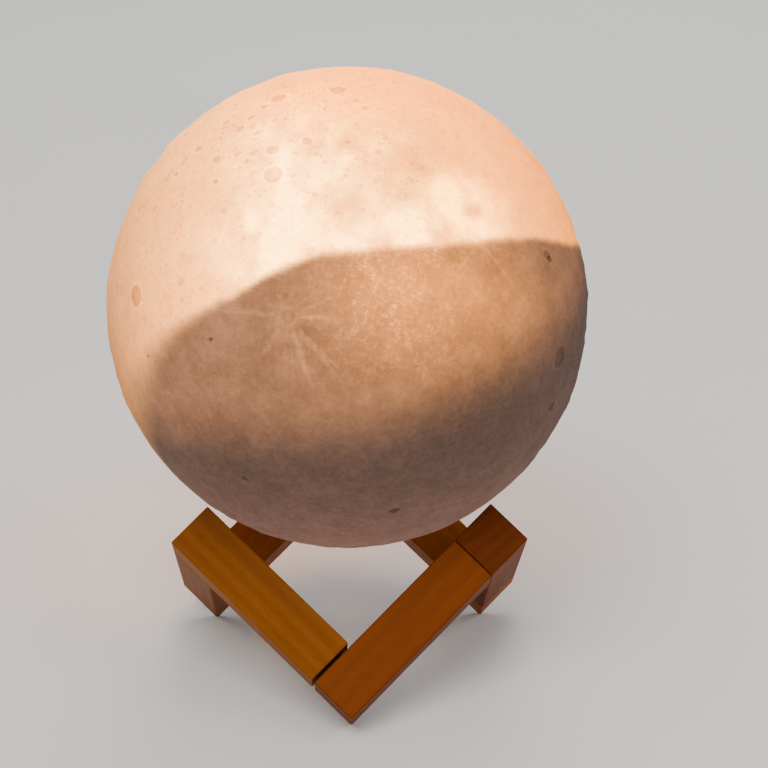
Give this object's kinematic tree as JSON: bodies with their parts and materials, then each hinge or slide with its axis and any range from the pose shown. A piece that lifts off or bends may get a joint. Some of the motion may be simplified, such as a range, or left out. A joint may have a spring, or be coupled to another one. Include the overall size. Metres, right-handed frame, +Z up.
{
  "type": "moon lamp",
  "caption": "Round relief globe lamp with an inner light unit, resting on a zigzag ring stand of square wooden bars.",
  "frame": {"origin": "centre of the bounding box at the table top, under the globe's centre", "axes": "+Z up, -Y towards the front low corner of the stand, +X to the right seen from the front"},
  "size_m": [0.15, 0.15, 0.1932],
  "materials": {
    "wood": "satin, warm orange-brown, straight grain",
    "moon_plastic": "matt printed plastic with moon relief, lit from inside",
    "base_plastic": "fine texture",
    "button_plastic": "satin",
    "dark_plastic": "matt",
    "circuit_board": "solder resist",
    "board_white": "white resist on aluminium",
    "socket_metal": "plated",
    "steel": "zinc plated",
    "clear_plastic": "clear, polished",
    "led": "yellow phosphor",
    "battery_wrap": "shrink sleeve",
    "foam": "closed-cell foam",
    "wire_cover": "soft insulation"
  },
  "bodies": {
    "stand": {"front_right_bar": "wood", "right_leg_bar": "wood", "back_right_bar": "wood", "back_left_bar": "wood", "left_leg_bar": "wood", "right_high_pin": "steel", "back_right_pin": "steel", "back_high_pin": "steel", "back_left_pin": "steel", "left_high_pin": "steel"},
    "front_bar": {"front_left_bar": "wood"},
    "lamp": {"moon_shell": "moon_plastic", "mounting_ring": "base_plastic", "base_housing": "base_plastic", "bottom_cover": "base_plastic", "cover_screws": "steel", "ring_screws": "steel", "board_screws": "steel", "main_board": "circuit_board", "tact_switch": "dark_plastic", "charging_socket": "socket_metal", "charge_led": "led", "light_pipe": "clear_plastic", "battery_cell": "battery_wrap", "battery_pads": "foam", "led_holder": "base_plastic", "led_board": "board_white", "led_chips": "led", "led_screws": "steel", "led_wires": "wire_cover"},
    "button": {"push_button": "button_plastic", "switch_plunger": "button_plastic"}
  },
  "joints": [
    {"name": "lamp_lift", "type": "slide", "parent": "stand", "child": "lamp", "axis": [0, 0, 1], "range_m": [0, 0.06]},
    {"name": "front_bar_swivel", "type": "hinge", "parent": "stand", "child": "front_bar", "pos_m": [-0.04384, -0.02531, 0.04879], "axis": [0, -0.8165, 0.5774], "range_deg": [0, 22]},
    {"name": "button_press", "type": "slide", "parent": "lamp", "child": "button", "axis": [0, 0, 1], "range_m": [0, 0.0006], "stiffness_N_per_m": 1500, "springref_m": -0.0006}
  ]
}
